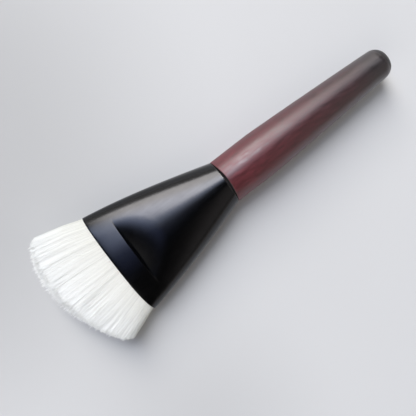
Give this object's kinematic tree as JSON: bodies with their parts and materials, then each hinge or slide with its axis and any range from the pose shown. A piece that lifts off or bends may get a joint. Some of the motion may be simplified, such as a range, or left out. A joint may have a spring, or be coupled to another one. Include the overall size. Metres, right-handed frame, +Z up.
{
  "type": "foundation brush",
  "caption": "Flat make-up brush for spreading foundation: a dense fan of white hair in a black oval metal ferrule on a stout turned wooden handle.",
  "frame": {"origin": "on the surface that the brush lies on, under the middle of its box", "axes": "+X along the brush from the handle's tail to the hair, +Y to the shorter side of the hair, +Z up, out of the ferrule's upper broad face"},
  "size_m": [0.1506, 0.0498, 0.0175],
  "materials": {
    "handle_wood": "satin",
    "ferrule_metal": "gloss",
    "hair": "satin",
    "thread": "matte",
    "adhesive": "gloss"
  },
  "bodies": {
    "root": {"handle": "handle_wood", "ferrule": "ferrule_metal", "hair_tuft": "hair", "binding_thread": "thread", "root_adhesive": "adhesive", "handle_adhesive": "adhesive"}
  },
  "joints": []
}
